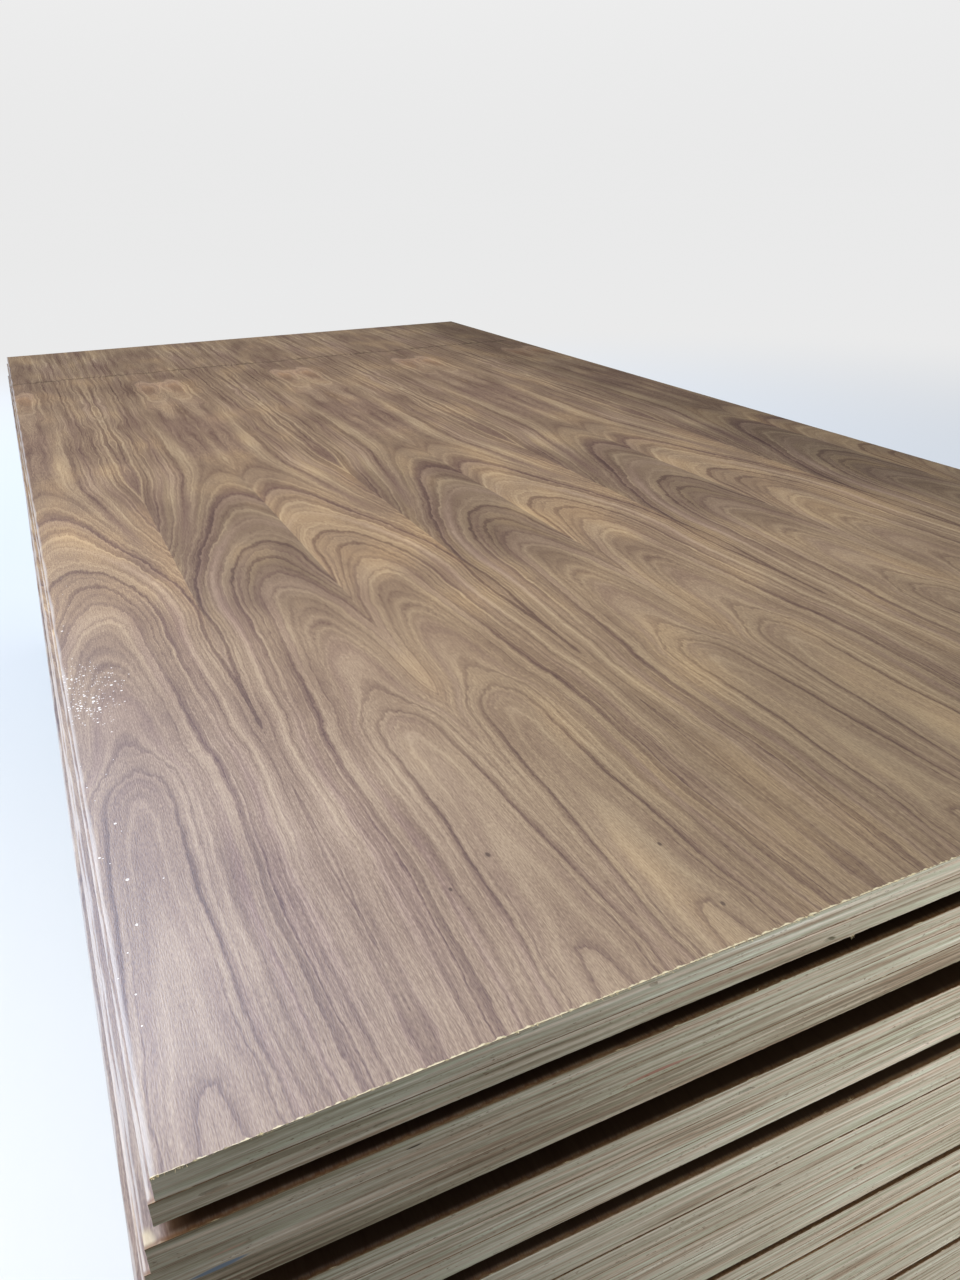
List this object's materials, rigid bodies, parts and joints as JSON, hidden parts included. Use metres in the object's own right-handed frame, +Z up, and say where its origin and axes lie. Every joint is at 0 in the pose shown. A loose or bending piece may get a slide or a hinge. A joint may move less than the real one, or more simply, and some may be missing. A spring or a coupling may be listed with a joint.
{
  "type": "stack of plywood sheets",
  "caption": "Stack of walnut-faced plywood sheets lying flat, the lower sheets crowned so that gaps open at the ends.",
  "frame": {"origin": "middle of the stack's footprint, on the floor", "axes": "+Y along the sheets, away from the end that the picture shows; +X across them; +Z up"},
  "size_m": [1.2456, 2.45, 0.7904],
  "materials": {
    "walnut_plywood": "satin sanded walnut veneer over a pale veneer core"
  },
  "bodies": {
    "root": {"sheet_01": "walnut_plywood", "sheet_02": "walnut_plywood", "sheet_03": "walnut_plywood", "sheet_04": "walnut_plywood", "sheet_05": "walnut_plywood", "sheet_06": "walnut_plywood", "sheet_07": "walnut_plywood", "sheet_08": "walnut_plywood", "sheet_09": "walnut_plywood", "sheet_10": "walnut_plywood", "sheet_11": "walnut_plywood", "sheet_12": "walnut_plywood", "sheet_13": "walnut_plywood", "sheet_14": "walnut_plywood", "sheet_15": "walnut_plywood", "sheet_16": "walnut_plywood", "sheet_17": "walnut_plywood", "sheet_18": "walnut_plywood", "sheet_19": "walnut_plywood", "sheet_20": "walnut_plywood", "sheet_21": "walnut_plywood", "sheet_22": "walnut_plywood", "sheet_23": "walnut_plywood", "sheet_24": "walnut_plywood", "sheet_25": "walnut_plywood", "sheet_26": "walnut_plywood", "sheet_27": "walnut_plywood", "sheet_28": "walnut_plywood", "sheet_29": "walnut_plywood", "sheet_30": "walnut_plywood", "sheet_31": "walnut_plywood", "sheet_32": "walnut_plywood", "sheet_33": "walnut_plywood", "sheet_34": "walnut_plywood", "sheet_35": "walnut_plywood", "sheet_36": "walnut_plywood", "sheet_37": "walnut_plywood", "sheet_38": "walnut_plywood", "sheet_39": "walnut_plywood", "sheet_40": "walnut_plywood"}
  },
  "joints": []
}
